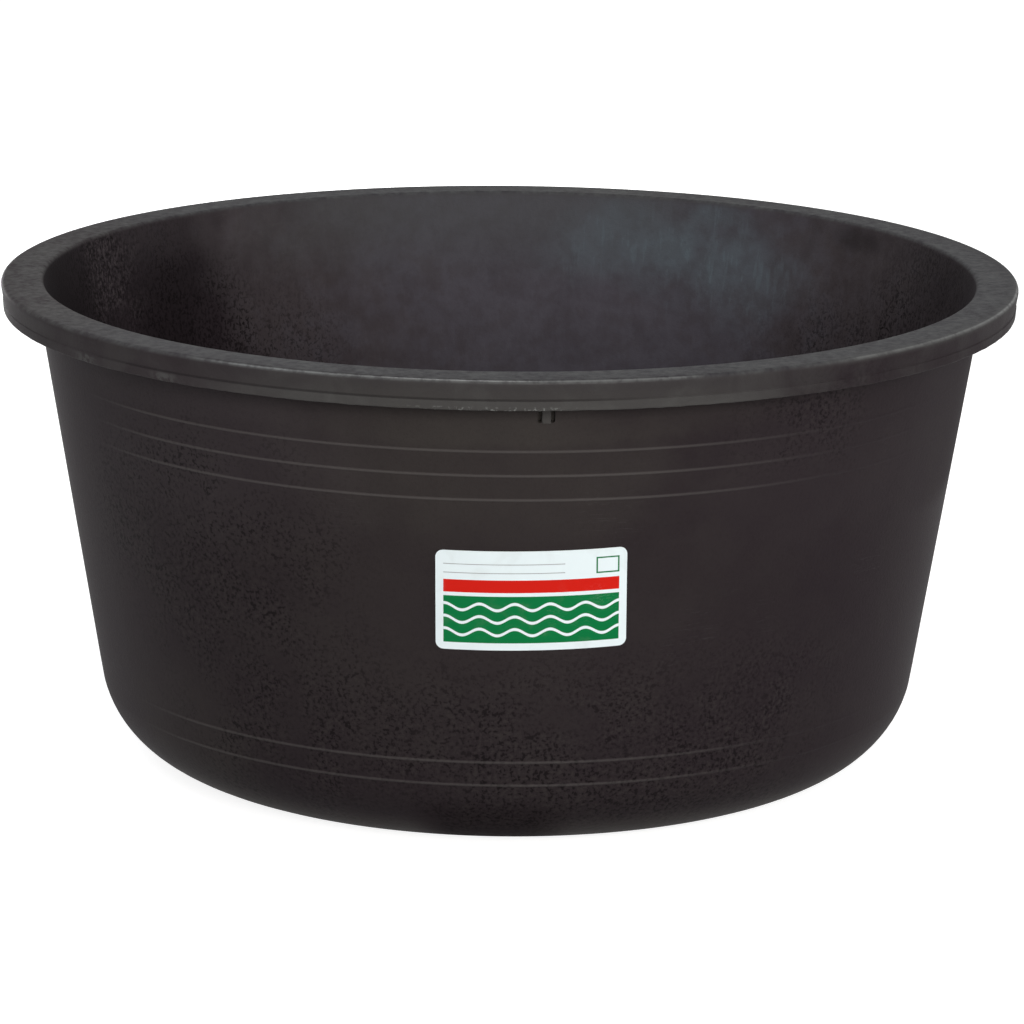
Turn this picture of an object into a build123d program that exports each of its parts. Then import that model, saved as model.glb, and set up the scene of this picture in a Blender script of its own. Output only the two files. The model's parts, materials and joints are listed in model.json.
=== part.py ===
# A round farm tub: one tapered moulding with a flat rim and a turned-down lip,
# and a printed label stuck to the front of its wall.
# Millimetres, +Z up, origin on the floor under the middle of the tub, front towards -Y.
import os
from math import atan, cos, degrees, radians, sin, sqrt, tan

from build123d import *

# Rim and wall
rim_diameter = 560.0
tub_height = 268.0
wall_set_in = 18.3  # outer edge of the rim to the outside of the wall, at the rim's top
wall_lean = 42.2  # how far the wall comes in from the rim's top to the floor
wall_thickness = 5.0  # square to the wall
rim_inner_round = 2.5
rim_outer_round = 2.5

# Turned-down lip
flange_thickness = 5.0
lip_depth = 15.8  # top of the rim to the lower edge of the lip
lip_thickness = 4.5  # at the lower edge
lip_taper = 0.5  # how much thicker the lip is where it leaves the flange
lip_lean = 1.8  # how far the lip's face leans in by the mould line
lip_line_drop = 10.4  # top of the rim to the mould line round the lip
lip_band_step = 0.5  # how far the band under the mould line steps out
lip_band_lean = 0.4
lip_edge_round = 0.8
channel_round = 2.0

# Foot and floor
floor_thickness = 5.0
foot_round = 55.0
foot_ring_width = 22.0  # flat ring that the tub stands on
push_up = 2.5  # how far the middle of the floor is raised
push_up_slope = 12.0
gate_diameter = 9.0  # mark left by the moulding gate, under the floor
gate_height = 1.0

# Raised beads round the wall
bead_round = 1.5
bead_proud = 0.3
bead_pitch = 13.0
upper_bead_count = 3
upper_bead_drop = 42.0  # top of the rim to the highest bead
lower_bead_count = 2
lower_bead_height = 42.0  # floor to the lowest bead

# Tie bar over a recess that shows as a slot on either side of it, just under the lip
tie_angle = 4.2  # degrees to the right of the front
tie_bar_width = 4.6
tie_bar_proud = 1.0
tie_bar_round_share = 0.8  # round of the bar's edges, as a share of its height
tie_bar_back = 0.8  # outside of the wall to the back of the bar
slot_width = 2.1
slot_length = 12.0
slot_drop = 10.7  # lower edge of the lip to the lower end of the slots
recess_depth = 3.6  # the recess stops short of the wall's inside
passage_height = 6.8  # the way behind the bar, from slot to slot

# Label
label_angle = 2.95  # degrees to the right of the front
label_tilt = 0.75  # degrees, right end up
label_width = 98.0
label_height = 55.0
label_corner = 4.0
label_drop = 27.5  # lowest of the upper beads to the label's top edge
adhesive_thickness = 0.1
film_thickness = 0.2

# Worked out from the sizes above
rim_radius = rim_diameter / 2
foot_radius = rim_radius - wall_set_in - wall_lean
wall_slope = wall_lean / tub_height
wall_draft = atan(wall_slope)
# The wall and the floor meet at 90 degrees plus the draft, so a round there
# reaches this share of its radius along each of them.
round_reach = tan((radians(90) - wall_draft) / 2)
channel_roof = tub_height - flange_thickness
lip_foot = tub_height - lip_depth
lip_line = tub_height - lip_line_drop
push_up_radius = foot_radius - foot_round * round_reach - foot_ring_width
lowest_upper_bead = tub_height - upper_bead_drop - bead_pitch * (upper_bead_count - 1)
highest_upper_bead = tub_height - upper_bead_drop


def wall_radius(height, proud=0.0):
    """Radius of the wall's straight outside, or of a surface that stands proud of it."""
    return foot_radius + height * wall_slope + proud / cos(wall_draft)


def outside_radius(height):
    """Radius of the tub's outside under the lip, on the wall or on the round of the foot."""
    round_top = foot_round * round_reach * cos(wall_draft)
    if height >= round_top:
        return wall_radius(height)
    round_centre = foot_radius - foot_round * round_reach
    return round_centre + sqrt(foot_round**2 - (foot_round - height) ** 2)


def wall_plane(angle, height):
    """Plane that lies on the wall's outside, its X to the right and its Y up the wall."""
    turn = radians(angle)
    radius = wall_radius(height)
    return Plane(
        origin=(radius * sin(turn), -radius * cos(turn), height),
        x_dir=(cos(turn), sin(turn), 0),
        z_dir=(sin(turn) * cos(wall_draft), -cos(turn) * cos(wall_draft), -sin(wall_draft)),
    )


def corner(sketch, radius, height):
    """The sketch's vertex nearest to a point of the section."""
    return sketch.vertices().sort_by_distance((radius, height))[0]


# The tub itself, turned from one section
inner_top = wall_radius(tub_height, -wall_thickness)
inner_foot = wall_radius(floor_thickness, -wall_thickness)
lip_line_radius = rim_radius - lip_lean
band_radius = lip_line_radius + lip_band_step
band_foot_radius = band_radius - lip_band_lean
lip_inner_radius = band_foot_radius - lip_thickness
lip_root_radius = lip_inner_radius - lip_taper
bead_heights = [highest_upper_bead - i * bead_pitch for i in range(upper_bead_count)]
bead_heights += [lower_bead_height + i * bead_pitch for i in range(lower_bead_count)]

with BuildPart() as tub_shell:
    with BuildSketch(Plane.XZ) as section:
        with BuildLine():
            Polyline(
                (0, push_up),
                (push_up_radius - push_up_slope, push_up),
                (push_up_radius, 0),
                (foot_radius, 0),
                (wall_radius(channel_roof), channel_roof),
                (lip_root_radius, channel_roof),
                (lip_inner_radius, lip_foot),
                (band_foot_radius, lip_foot),
                (band_radius, lip_line - lip_band_step),
                (lip_line_radius, lip_line),
                (rim_radius, tub_height),
                (inner_top, tub_height),
                (inner_foot, floor_thickness),
                (push_up_radius, floor_thickness),
                (push_up_radius - push_up_slope, floor_thickness + push_up),
                (0, floor_thickness + push_up),
                close=True,
            )
        make_face()
        fillet(corner(section, foot_radius, 0), foot_round)
        fillet(corner(section, inner_foot, floor_thickness), foot_round - wall_thickness)
        fillet(corner(section, inner_top, tub_height), rim_inner_round)
        fillet(corner(section, rim_radius, tub_height), rim_outer_round)
        fillet(corner(section, band_foot_radius, lip_foot), lip_edge_round)
        fillet(corner(section, lip_inner_radius, lip_foot), lip_edge_round)
        fillet(corner(section, lip_root_radius, channel_roof), channel_round)
        fillet(corner(section, wall_radius(channel_roof), channel_roof), channel_round)
        with Locations(*[(outside_radius(h) + bead_proud - bead_round, h) for h in bead_heights]):
            Circle(bead_round)
    revolve(axis=Axis.Z)

    with BuildSketch(Plane.XY.offset(push_up - gate_height)):
        Circle(gate_diameter / 2)
    extrude(amount=gate_height)

    # The bar runs from the lower end of the slots up into the rim's flange
    slot_foot = lip_foot - slot_drop
    tie_plane = wall_plane(tie_angle, slot_foot)
    bar_length = (channel_roof + flange_thickness / 2 - slot_foot) / cos(wall_draft)
    bar_round = tie_bar_round_share * tie_bar_proud
    with BuildSketch(Plane(tie_plane.origin, x_dir=tie_plane.x_dir, z_dir=tie_plane.y_dir)):
        RectangleRounded(tie_bar_width, 2 * tie_bar_proud, bar_round)
    extrude(amount=bar_length)
    slot_pitch = tie_bar_width + slot_width
    with BuildSketch(tie_plane):
        with Locations((0, slot_length / 2)):
            with GridLocations(slot_pitch, 0, 2, 1):
                SlotOverall(slot_length, slot_width, rotation=90)
    extrude(amount=-recess_depth, mode=Mode.SUBTRACT)
    with BuildSketch(tie_plane.offset(-tie_bar_back)):
        with Locations((0, slot_length / 2)):
            Rectangle(slot_pitch, passage_height)
    extrude(amount=tie_bar_back - recess_depth, mode=Mode.SUBTRACT)

# The label is flat stock: wrapped round the wall, it looks a little narrower from the front
label_centre = lowest_upper_bead - label_drop - label_height / 2 * cos(wall_draft)
label_plane = wall_plane(label_angle, label_centre)
label_radius = wall_radius(label_centre)
label_reach = 2 * label_radius * sin(label_width / label_radius / 2)
label_low = label_centre - label_height
label_high = label_centre + label_height


def label_layer(inside, thickness):
    """One layer of the label, from its inside's distance off the wall."""
    outside = inside + thickness
    with BuildPart() as layer:
        with BuildSketch(Plane.XZ):
            with BuildLine():
                Polyline(
                    (wall_radius(label_low, inside), label_low),
                    (wall_radius(label_low, outside), label_low),
                    (wall_radius(label_high, outside), label_high),
                    (wall_radius(label_high, inside), label_high),
                    close=True,
                )
            make_face()
        revolve(axis=Axis.Z)
        with BuildSketch(label_plane):
            RectangleRounded(label_reach, label_height, label_corner, rotation=label_tilt)
        extrude(amount=label_height, both=True, mode=Mode.INTERSECT)
    return layer


label_adhesive = label_layer(0, adhesive_thickness)
label_film = label_layer(adhesive_thickness, film_thickness)

os.makedirs("parts", exist_ok=True)
tub_shell.part.label = "tub_shell"
export_step(tub_shell.part, "parts/tub_shell.step")
label_adhesive.part.label = "label_adhesive"
export_step(label_adhesive.part, "parts/label_adhesive.step")
label_film.part.label = "label_film"
export_step(label_film.part, "parts/label_film.step")

print("wall draft, degrees:", round(degrees(wall_draft), 2))
print("label centre height:", round(label_centre, 1))
print("tub volume, litres of material:", round(tub_shell.part.volume / 1e6, 3))
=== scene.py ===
import json
from functools import cache, reduce
from math import asin, atan, atan2, ceil, cos, hypot, pi, radians, sin, sqrt, tan
from operator import or_
from types import SimpleNamespace
from typing import NamedTuple

import bpy
from bpy.props import FloatProperty, FloatVectorProperty, IntProperty, PointerProperty
from mathutils import Matrix, Vector


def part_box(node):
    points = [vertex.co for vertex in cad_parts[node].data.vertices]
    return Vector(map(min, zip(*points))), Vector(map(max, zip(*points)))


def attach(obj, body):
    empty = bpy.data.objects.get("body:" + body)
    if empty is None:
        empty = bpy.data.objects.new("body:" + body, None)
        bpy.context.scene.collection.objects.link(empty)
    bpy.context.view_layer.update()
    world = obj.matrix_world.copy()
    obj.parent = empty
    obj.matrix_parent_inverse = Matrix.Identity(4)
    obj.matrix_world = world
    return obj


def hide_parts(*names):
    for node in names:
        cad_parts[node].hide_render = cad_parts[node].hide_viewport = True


bl_info = {
    "name": "Round Farm Tub",
    "version": (1, 0, 0),
    "blender": (4, 5, 0),
    "location": "3D View > Sidebar > Tub",
    "description": "Moulds a round black farm tub, sticks its label on and sets a studio round it",
    "category": "Add Mesh",
}

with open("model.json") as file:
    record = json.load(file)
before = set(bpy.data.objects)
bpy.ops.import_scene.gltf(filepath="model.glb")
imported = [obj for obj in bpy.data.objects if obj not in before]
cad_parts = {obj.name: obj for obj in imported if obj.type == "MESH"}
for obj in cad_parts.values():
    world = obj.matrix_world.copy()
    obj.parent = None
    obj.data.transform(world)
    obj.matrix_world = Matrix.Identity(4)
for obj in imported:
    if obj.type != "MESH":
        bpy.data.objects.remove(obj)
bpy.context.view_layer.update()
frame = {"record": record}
TUB_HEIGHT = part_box("tub_shell")[1].z
FINISHES = {row["slot"]: row for row in frame["record"]["materials"]}
MM = 0.001
NODE_STEP = 190  # from node to node, in the editor

# Edges and small forms of the moulding
RIM_INNER_ROUND = 2.5 * MM
RIM_OUTER_ROUND = 2.5 * MM
FLANGE_THICKNESS = 5 * MM
LIP_TAPER = 0.5 * MM
LIP_LEAN = 1.8 * MM
LIP_LINE_DROP = 10.4 * MM
LIP_BAND_STEP = 0.5 * MM
LIP_BAND_LEAN = 0.4 * MM
LIP_LINE_ROUND = 0.3 * MM
LIP_EDGE_ROUND = 0.8 * MM
CHANNEL_ROUND = 2 * MM
TRIM_REACH = 2.5 * MM
TRIM_GRAIN = 170.0
TRIM_SEED = 2.0
EDGE_WEAR_AND_HIGHLIGHT = 1.1 * MM
EDGE_TURN = radians(36)  # where the rim's outer round is worn most and its painted highlight sits, up from its side
UPPER_FACE_SCUFF = 0.8  # of the lip's face over the mould line, as a share of the band's

# Foot and floor
FLOOR_THICKNESS = 5 * MM
FOOT_RING_WIDTH = 22 * MM
PUSH_UP = 2.5 * MM
PUSH_UP_SLOPE = 12 * MM
PUSH_UP_ROUND = 2 * MM
GATE_RADIUS = 4.5 * MM
GATE_HEIGHT = 1 * MM
GATE_ROUND = 0.3 * MM

# Raised beads round the wall
BEAD_ROUND = 1.5 * MM
BEAD_PITCH = 13 * MM
BEAD_REACH = 1.3 * MM
BEAD_ROWS = (-1.0, -0.72, -0.6, -0.32, 0.0, 0.32, 0.6, 0.72, 1.0)  # as shares of the reach
UPPER_BEADS = 3
UPPER_BEAD_DROP = 42 * MM
LOWER_BEADS = 2
LOWER_BEAD_HEIGHT = 42 * MM
BEADS_FULL_WITHIN = radians(42)
BEADS_LOW_BEYOND = radians(60)

# Tie bar over a recess that shows as a slot on either side of it, just under the lip
TIE_ANGLE = radians(4.2)
TIE_BAR_WIDTH = 4.6 * MM
TIE_BAR_BACK = 0.8 * MM
TIE_BAR_ROUND = 0.8 * MM
SLOT_WIDTH = 2.1 * MM
SLOT_LENGTH = 12 * MM
SLOT_DROP = 10.7 * MM
RECESS_DEPTH = 3.6 * MM
PASSAGE_HEIGHT = 6.8 * MM
TOUCH = 0.01 * MM  # a face this near to a tool was made by it
SEAM = 0.001 * MM  # points this near to each other are the same point

# Layers of the label
ADHESIVE_THICKNESS = 0.1 * MM
FILM_THICKNESS = 0.2 * MM

# How finely the shapes are cut
ROW = 24 * MM
FOOT_STEPS = 18
EDGE_STEPS = 5
LINE_STEPS = 2
BAR_CORNER_STEPS = 6
LABEL_COLUMNS = 48
LABEL_ROWS = 12
LABEL_CORNER_STEPS = 7
TUB_SHARP = radians(48)
LABEL_SHARP = radians(40)

# What the section and the faces say about the finish, and where the trimmed edge is. The wear mark also
# places the painted highlight on the rim's outer round
COLOUR_MARKS = ("inside", "lip", "wear", "bead")
POINT_MARKS = (*COLOUR_MARKS, "trim")
FACE_MARKS = ("cut", "bar")


class Spot(NamedTuple):
    """A mark on the wall that fades out between its core and its reach"""

    angle: float  # degrees to the right of the front
    height: float
    reach: float
    share: float = 1.0  # how strong it is
    flat: float = 1.0  # how much wider it is than high
    core: float = 0.2
    ragged: float = 0.5


class Arc(NamedTuple):
    """A part of the tub's round that fades out at both ends, in degrees to the right of the front"""

    start: float
    end: float
    start_fade: float
    end_fade: float
    share: float = 1.0  # how strong it is


# Marks on the outside of the wall
OUTER_DUST_AND_LIGHT = (
    # Dust high on the front, which also paints the broad highlight of the key light there
    Spot(-2, 0.217, 0.135, 0.26, flat=2.5, core=0.35),
    # Painted band of light right under the lip, where the lip's shade falls
    Spot(-2, 0.246, 0.2, 0.21, flat=9, core=0.6, ragged=0.3),
    Spot(-2, 0.15, 0.2, 0.22, flat=1.3),
    # Painted sheen low on the foot, on the left
    Spot(-48, 0.04, 0.075, 0.26, core=0.3),
    Spot(172, 0.19, 0.22, 0.3, flat=1.4),
)
SIDE_DUST_AND_LIGHT = (
    Spot(-38, 0.226, 0.13, 0.42, flat=1.5),
    # Painted band of light under the lip on the left, where the lip's shade falls
    Spot(-45, 0.246, 0.13, 0.14, flat=6, core=0.5, ragged=0.3),
    Spot(38, 0.195, 0.12, 0.13, flat=2),
)
OUTER_FLECKS = (
    Spot(-43, 0.132, 0.128, core=0.4),
    Spot(38, 0.234, 0.065, flat=1.6, core=0.1, ragged=0.9),
    Spot(140, 0.15, 0.15, core=0.3),
    Spot(-130, 0.17, 0.12, flat=1.3, core=0.3),
)
DENSE_FLECKS = Spot(-48, 0.17, 0.06, 0.4, core=0.3, ragged=0.8)
SMOOTH_FOOT = (
    Spot(62, 0.06, 0.1, core=0.4),
    Spot(-66, 0.05, 0.11, core=0.4),
)

# Marks on the inside of the wall
BACK_FILM = Spot(190, 0.25, 0.165, core=0.78, ragged=0.45)
SIDE_FILM = Spot(152, 0.238, 0.29, core=0.42)
FRONT_FILM = Spot(-8, 0.21, 0.2, core=0.4)
COOL_FILM = Spot(170, 0.232, 0.215, core=0.3)
BRIM_FILM = Spot(184, 0.262, 0.2, core=0.3)
CLEAR_PATCH = Spot(229, 0.262, 0.085, flat=3.2, core=0.3, ragged=0.6)
LIGHT_FLECKS = Spot(245, 0.245, 0.045, 0.9, flat=0.7, ragged=0.6)
# Cool stains on the inside of the back, right of the middle, which also paint the highlight of the cool side
# lamp
STAINS_AND_SHEEN = (
    Spot(162, 0.238, 0.085, 0.65, flat=2.4, core=0.1, ragged=1.0),
    Spot(149, 0.228, 0.08, 0.6, flat=2.0, core=0.1, ragged=1.0),
    Spot(151, 0.261, 0.028, 0.5, flat=2.5),
)
DARK_PATCHES_AND_SHADE = (
    Spot(127, 0.2585, 0.032, 0.34, flat=3.4, core=0.3, ragged=0.6),
    Spot(233, 0.212, 0.06, 0.4, flat=0.9, ragged=1.0),
    # These two paint shade at the inside's far left and far right ends, where little light reaches
    Spot(266, 0.235, 0.1, 0.66),
    Spot(98, 0.235, 0.09, 0.16),
)
INNER_FLECKS = (
    Spot(245, 0.208, 0.12, core=0.5),
    Spot(220, 0.163, 0.088, 0.7, core=0.3),
    Spot(104, 0.225, 0.1, 0.8),
    Spot(122, 0.172, 0.11, 0.8, flat=1.5, core=0.3),
)

# Parts of the round where the lip, the beads, the wall or the foot look different
# Scuffing on the lip's face at the front, which also paints the light that falls off towards the sides
FRONT_FACE_SCUFF_AND_LIGHT = Arc(-29, 28, 9, 9)
LEFT_FACE = Arc(-80, -30, 20, 9, share=0.02)
# Left part of the rim's top, left out of the painted cool sheen
RIM_WITHOUT_SHEEN = Arc(-125, -55, 15, 15)
# Painted highlight on the outer part of the rim's top, on the right
HIGHLIT_RIM_RIGHT = Arc(36, 88, 6, 10, share=0.22)
# Polish on the rim's outer round with a painted highlight laid on it, at the front and on the right
POLISHED_HIGHLIT_EDGE = (Arc(-33, 19.5, 6, 1.5), Arc(38, 84, 3, 6, share=0.7))
# Painted highlight on the beads
HIGHLIT_BEADS = Arc(-52, 28, 10, 20)
NICKED_LIP = Arc(-9, 6, 3, 3)
SMUDGED_LIP = (Arc(-53, -51, 2, 2), Arc(-40, -38, 2, 2))
# Painted shade line along the mould line
SHADED_CREASE = Arc(-48, 12, 8, 8)
DULL_SHADED_FOOT = Arc(-11, 7, 4, 4)
# Painted sheen near the left outline
SHEEN_SIDE = Arc(-78, -50, 6, 8, share=0.15)
BLUNT_LEFT = Arc(-110, -69, 15, 8, share=0.08)
BLUNT_RIGHT = Arc(66, 110, 8, 15, share=0.11)
BACK = (radians(122), radians(142))

# Heights above the floor between which a mark comes in
FOOT_FLECKS = (0.13, 0.07)
SHADED_FLECKS = (0.23, 0.17)
SETTLED_DUST = (0.05, 0.012)
BRIM = (0.205, 0.262)
# Painted highlight on the beads, stronger higher up
BEAD_HIGHLIGHT_RISE = (0.08, 0.18)
BLUNT_TOP = (0.155, 0.172)
# Painted shade on the foot, and painted bounce light on its lowest band
SHADED_FOOT = (0.036, 0.024)
LIT_SOLE = (0.022, 0.009)

# Distances between which a mark comes in: down from the rim's top, in from its outer edge,
# down from the mould line, up from the lip's lower edge, and to either side of the mould line
RIM_TOP = (2.5 * MM, 0.5 * MM)
RIM_CORNER = (4 * MM, 1 * MM)
RIM_OUTER_PART = (6 * MM, 2 * MM)
BAND_SCUFF = (0, 1 * MM)
SMUDGES = (0, 2 * MM)
NICKS = (2.4 * MM, 0.8 * MM)
CREASE_SHADE = (0.9 * MM, 0.2 * MM)

# Grain, flecks and specks of the plastic, and the patches and strokes of its dirt
GRAINS = {
    "grain": {"scale": 1400.0, "seed": 1.7, "contrast": 1.6},
    "fleck": {"scale": 480.0, "seed": 5.2, "contrast": 2.8},
    "speck": {"scale": 230.0, "seed": 3.9, "contrast": 2.6},
}
PATCHES = {
    "cloud": {"scale": 5.5, "seed": 3.1, "level": 0.5, "softness": 0.2},
    "mottle": {"scale": 34.0, "seed": 8.4, "level": 0.52, "softness": 0.16},
    "cluster": {"scale": 19.0, "seed": 6.1, "level": 0.46, "softness": 0.14},
}
STROKES = {
    "dapple": {"scale": 24.0, "rise": 4.2, "seed": 1.3, "level": 0.5, "softness": 0.17},
    "streak": {"scale": 60.0, "rise": 0.9, "seed": 4.0, "level": 0.61, "softness": 0.11},
    "smear": {"scale": 140.0, "rise": 2.0, "seed": 7.3, "level": 0.58, "softness": 0.1},
    "brush": {"scale": 110.0, "rise": 2.2, "seed": 9.1, "level": 0.57, "softness": 0.1},
}

# Values of a grain between which its dark flecks, its pale flecks and its specks come in
DARK_FLECKS = (0.42, 0.15)
PALE_FLECKS = (0.6, 0.92)
SPECKED = (0.2, 0.6)

# Height of each material's bump
PLASTIC_RELIEF = 0.12 * MM
FILM_RELIEF = 0.012 * MM
ADHESIVE_RELIEF = 0.01 * MM

# Print of the label, laid flat, from its lower left corner
PRINT_BORDER = 4 * MM
FIELD_TOP = 30 * MM
BAND_FOOT = 32 * MM
BAND_TOP = 39 * MM
WAVE_LEVELS = (10 * MM, 17 * MM, 24 * MM)
WAVE_SWING = 1.8 * MM
WAVE_LENGTH = 18 * MM
WAVE_THICKNESS = 1.6 * MM
RULE_LEVELS = (42.6 * MM, 47.4 * MM)
RULE_END = 66 * MM
RULE_THICKNESS = 0.4 * MM
TICK_BOX_LEFT = 82 * MM
TICK_BOX_FOOT = 41.5 * MM
TICK_BOX_TOP = 50.5 * MM
TICK_BOX_LINE = 0.8 * MM
INK_EDGE = 0.12 * MM

# Dirt on the label
FILM_DIRT = (0.32, 0.3, 0.27)
ADHESIVE_DUST = (0.2, 0.18, 0.16)

# The studio
WHITE = (1.0, 1.0, 1.0)
FLOOR_DUST = (0.46, 0.46, 0.46)
FLOOR_HALF = 15.0
SENSOR_WIDTH = 36.0


class Lamp(NamedTuple):
    """A soft box that faces the middle of the tub"""

    place: tuple
    size: tuple
    colour: tuple = WHITE


LAMPS = {
    "key": Lamp((0.5, -2.5, 0.98), (1.4, 0.7), (1.0, 0.97, 0.95)),
    "side": Lamp((-1.3, -0.4, 2.1), (1.0, 1.0), (0.86, 0.94, 1.0)),
    "fill": Lamp((2.2, -0.6, 0.4), (1.0, 1.0)),
    "overhead": Lamp((-0.2, -0.1, 1.9), (0.9, 0.3)),
    "back": Lamp((-0.6, 2.2, 0.14), (1.6, 0.22)),
}


def length(name, description, default):
    """A size in metres."""
    limits = {"min": 0, "precision": 4, "subtype": "DISTANCE", "unit": "LENGTH"}
    return FloatProperty(name=name, description=description, default=default, **limits)


def turn(name, description, degrees):
    """An angle, given in degrees and kept in radians."""
    kind = {"subtype": "ANGLE", "unit": "ROTATION"}
    return FloatProperty(name=name, description=description, default=radians(degrees), **kind)


def colour(name, description, default):
    """A linear colour."""
    limits = {"size": 3, "min": 0, "max": 1, "subtype": "COLOR"}
    return FloatVectorProperty(name=name, description=description, default=default, **limits)


def amount(name, description, default):
    """A plain number that isn't negative."""
    return FloatProperty(name=name, description=description, default=default, min=0)


class ShellSettings(bpy.types.PropertyGroup):
    """Sizes and colours of the moulded tub"""

    rim_diameter: length("Rim diameter", "Across the outer edge of the rim", 0.56)
    height: length("Height", "Floor to the top of the rim", TUB_HEIGHT)
    wall_set_in: length("Wall set in", "Outer edge of the rim to the wall, at the rim's top", 0.0183)
    wall_lean: length("Wall lean", "How far the wall comes in from the rim's top to the floor", 0.0422)
    wall_thickness: length("Wall thickness", "Square to the wall", 0.005)
    foot_round: length("Foot round", "Round between the wall and the floor", 0.055)
    lip_depth: length("Lip depth", "Top of the rim to the lower edge of the lip", 0.0158)
    lip_thickness: length("Lip thickness", "At the lower edge of the lip", 0.0045)
    bead_proud: length("Bead height", "How far the beads stand out of the wall", 0.0003)
    bead_sink: length("Bead sink", "How much lower the beads are on the tub's sides", 0.00027)
    tie_bar_proud: length("Tie bar height", "How far the tie bar stands out of the wall", 0.001)
    trim_wear: length("Trim wear", "How uneven the trimmed lower edge of the lip is", 0.0005)
    segments: IntProperty(name="Segments", description="Facets round the tub", default=480, min=64)
    plastic: colour("Plastic", "Clean black plastic", (0.0165, 0.0117, 0.0142))
    # Dark flecks; also paints shade along the creased mould line, on the foot, at the inside's far ends and
    # lower on the flecked wall
    pit_and_shade: colour("Pits", "Dark flecks, creases and soot", (0.003, 0.002, 0.0022))
    # Dust; also paints light under the lip, the key light's highlight high on the front, a sheen at the foot
    # and bounce light on the foot's lowest band
    outer_dust_and_light: colour("Outer dust", "Dust on the outside and in the recess", (0.044, 0.0395, 0.0355))
    # Cool dust; also paints the sheen near the left outline and light under the lip on the left
    side_dust_and_sheen: colour("Side dust", "Cooler dust towards the sides", (0.0457, 0.0385, 0.0413))
    warm_film: colour("Warm film", "Dried film and dust on the inside", (0.064, 0.054, 0.057))
    cool_film: colour("Cool film", "Dried film on the inside of the back", (0.065, 0.0595, 0.071))
    brim_film: colour("Brim film", "Dried film near the rim", (0.072, 0.075, 0.077))
    # Cool stains; also paints the highlight on the inside of the back and a cool sheen on the rim's top
    stain_and_sheen: colour("Stain", "Cool stain on the inside of the back and the rim", (0.084, 0.101, 0.115))
    # Scuffing and scratches; also paints the highlight on the rim's right, on the tie bar and on the lip's
    # front
    scuff_and_highlight: colour("Scuffs", "Rubbed or scratched plastic", (0.108, 0.111, 0.106))
    # Painted highlight on the beads' upper flanks
    highlit: colour("Rubbed beads", "Rubbed plastic on the beads", (0.133, 0.124, 0.12))
    # Nicks and smudges on the lip; also paints the highlight on the rim's outer round
    nick_and_highlight: colour("Nicks", "Torn, smudged or brightly rubbed plastic on the lip", (0.2, 0.21, 0.2))


class LabelSettings(bpy.types.PropertyGroup):
    """Place, size and colours of the label"""

    angle: turn("Angle", "Degrees to the right of the front", 2.95)
    tilt: turn("Tilt", "How far its right end is turned up", 0.75)
    centre: length("Centre height", "Floor to the middle of the label", 0.1453)
    width: length("Width", "Along the wall, laid flat", 0.098)
    height: length("Height", "Up the wall, laid flat", 0.055)
    corner: length("Corner round", "Round of the four corners", 0.004)
    paper: colour("Film", "Unprinted film", (0.77, 0.865, 0.885))
    field: colour("Field ink", "Ink of the large field", (0.001, 0.158, 0.043))
    band: colour("Band ink", "Ink of the band", (0.6, 0.0125, 0.006))
    rule: colour("Rule ink", "Ink of the writing lines", (0.3, 0.31, 0.32))
    adhesive: colour("Adhesive", "Edge of the adhesive", FINISHES["label_adhesive"]["base_color"])


class StageSettings(bpy.types.PropertyGroup):
    """Camera, floor and lights"""

    camera_back: length("Camera distance", "In front of the tub's axis", 2.5372)
    camera_height: length("Camera height", "Above the floor", 0.76124)
    camera_pitch: turn("Camera pitch", "How far it looks down", 13.934)
    camera_yaw: turn("Camera yaw", "How far it looks to the right", 0.0525)
    camera_roll: turn("Camera roll", "How far its right side is turned up", 0.5096)
    lens: FloatProperty(name="Lens", description="Focal length in millimetres", default=164.35, min=1)
    floor: colour("Floor", "Pale studio floor", (0.5, 0.5, 0.5))
    room: amount("Room light", "Even light from all round", 0.35)
    floor_glow: amount("Floor glow", "How much white the eye sees on top of the floor's own shading", 0.85)
    key: amount("Key light", "Soft box in front, in watts", 44.5)
    side: amount("Side light", "Cool soft box over the left, in watts", 7.5)
    fill: amount("Fill light", "Soft box on the right, in watts", 9.0)
    overhead: amount("Overhead light", "Soft box above the rim, in watts", 7.0)
    back: amount("Back light", "Low soft box behind, in watts", 32.0)


class Value:
    """A node's output. Reckoning with it adds nodes to its tree."""

    def __init__(self, desk, socket):
        self.desk = desk
        self.socket = socket

    def __add__(self, other):
        return self.desk.math("ADD", self, other)

    def __sub__(self, other):
        return self.desk.math("SUBTRACT", self, other)

    def __mul__(self, other):
        return self.desk.math("MULTIPLY", self, other)

    def __abs__(self):
        return self.desk.math("ABSOLUTE", self)

    def __or__(self, other):
        """Two masks together, held between 0 and 1."""
        return self.desk.math("ADD", self, other, clamp=True)

    __ror__ = __or__

    def __invert__(self):
        """What a mask leaves out."""
        return self.desk.math("SUBTRACT", 1.0, self, clamp=True)


def opaque(tint):
    """A colour as a socket takes it, or another node's colour as it is."""
    return tint if isinstance(tint, Value) else (*tint, 1.0)


def title(key):
    """A socket's label from its key in this script."""
    return key.replace("_", " ").title()


def titled(values):
    """Values by their sockets' labels."""
    return {title(key): value for key, value in values.items()}


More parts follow.
